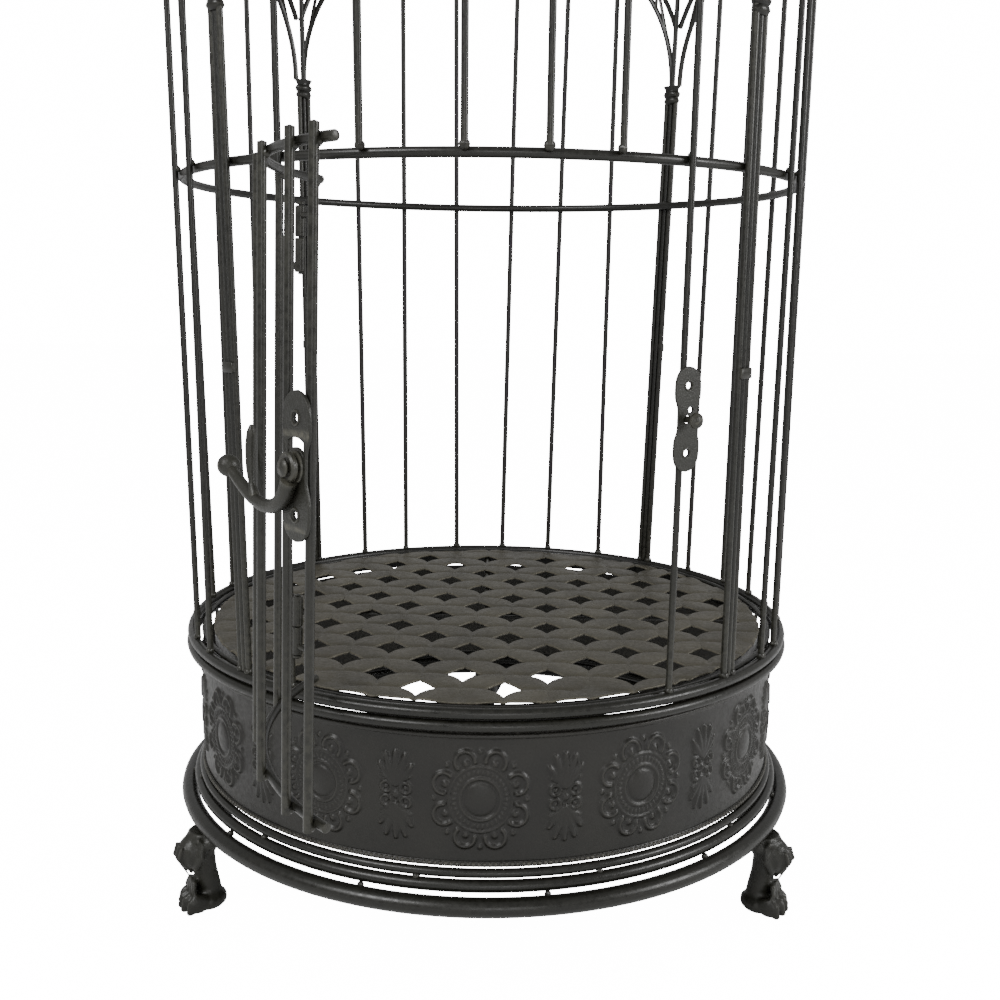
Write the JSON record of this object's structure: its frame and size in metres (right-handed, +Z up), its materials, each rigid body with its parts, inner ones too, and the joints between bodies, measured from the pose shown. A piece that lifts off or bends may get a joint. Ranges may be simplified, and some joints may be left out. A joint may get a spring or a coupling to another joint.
{
  "type": "bird cage on stand",
  "caption": "round wirework bird cage with a hinged, swan-necked latched door, an embossed sheet-metal band below the pierced floor and cast paw feet under a ring base",
  "frame": {"origin": "the middle of the floor plate's top face, where a bird stands", "axes": "+X to the right when the cage is seen from its doorway, +Y from the doorway towards the rear foot, +Z up"},
  "size_m": [0.3516, 0.4902, 0.8073],
  "materials": {
    "frame_metal": "satin",
    "cast_metal": "satin",
    "sheet_metal": "satin"
  },
  "bodies": {
    "cage": {"arch_front": "frame_metal", "arch_left": "frame_metal", "arch_rear": "frame_metal", "arch_right": "frame_metal", "band": "sheet_metal", "base_ring_bottom": "frame_metal", "base_ring_middle": "frame_metal", "base_ring_top": "frame_metal", "carrying_ring": "frame_metal", "crown_finial": "cast_metal", "door_head_wire_1": "frame_metal", "door_head_wire_2": "frame_metal", "door_head_wire_3": "frame_metal", "door_head_wire_4": "frame_metal", "eaves_ring": "frame_metal", "floor_cross": "frame_metal", "floor_plate": "sheet_metal", "foot_left": "cast_metal", "foot_rear": "cast_metal", "foot_right": "cast_metal", "hinge_bracket_lower": "frame_metal", "hinge_bracket_upper": "frame_metal", "hinge_pin_lower": "frame_metal", "hinge_pin_upper": "frame_metal", "hinge_wire_1": "frame_metal", "inner_ring": "frame_metal", "latch_wire_1": "frame_metal", "left_wire_1": "frame_metal", "left_wire_2": "frame_metal", "left_wire_3": "frame_metal", "left_wire_4": "frame_metal", "left_wire_5": "frame_metal", "left_wire_6": "frame_metal", "middle_ring": "frame_metal", "post_front_left": "frame_metal", "post_front_right": "frame_metal", "post_rear_left": "frame_metal", "post_rear_right": "frame_metal", "rear_wire_1": "frame_metal", "rear_wire_2": "frame_metal", "rear_wire_3": "frame_metal", "rear_wire_4": "frame_metal", "rear_wire_5": "frame_metal", "rear_wire_6": "frame_metal", "right_wire_1": "frame_metal", "right_wire_2": "frame_metal", "right_wire_3": "frame_metal", "right_wire_4": "frame_metal", "right_wire_5": "frame_metal", "right_wire_6": "frame_metal", "right_wire_7": "frame_metal", "rim_ring_lower": "frame_metal", "rim_ring_upper": "frame_metal", "strike_plate": "cast_metal", "strike_stud": "cast_metal"},
    "door": {"door": "frame_metal", "latch_plate": "cast_metal", "latch_rivet": "cast_metal"},
    "latch_arm": {"latch_arm": "cast_metal"}
  },
  "joints": [
    {"name": "door_hinge", "type": "hinge", "parent": "cage", "child": "door", "pos_m": [-0.084, -0.147, 0.1145], "axis": [0.0262, 0, 0.9997], "range_deg": [-60, 78]},
    {"name": "latch_pivot", "type": "hinge", "parent": "door", "child": "latch_arm", "pos_m": [-0.0593, -0.29749, 0.12936], "axis": [0.7888, 0.6143, -0.0207], "range_deg": [0, 180]}
  ]
}
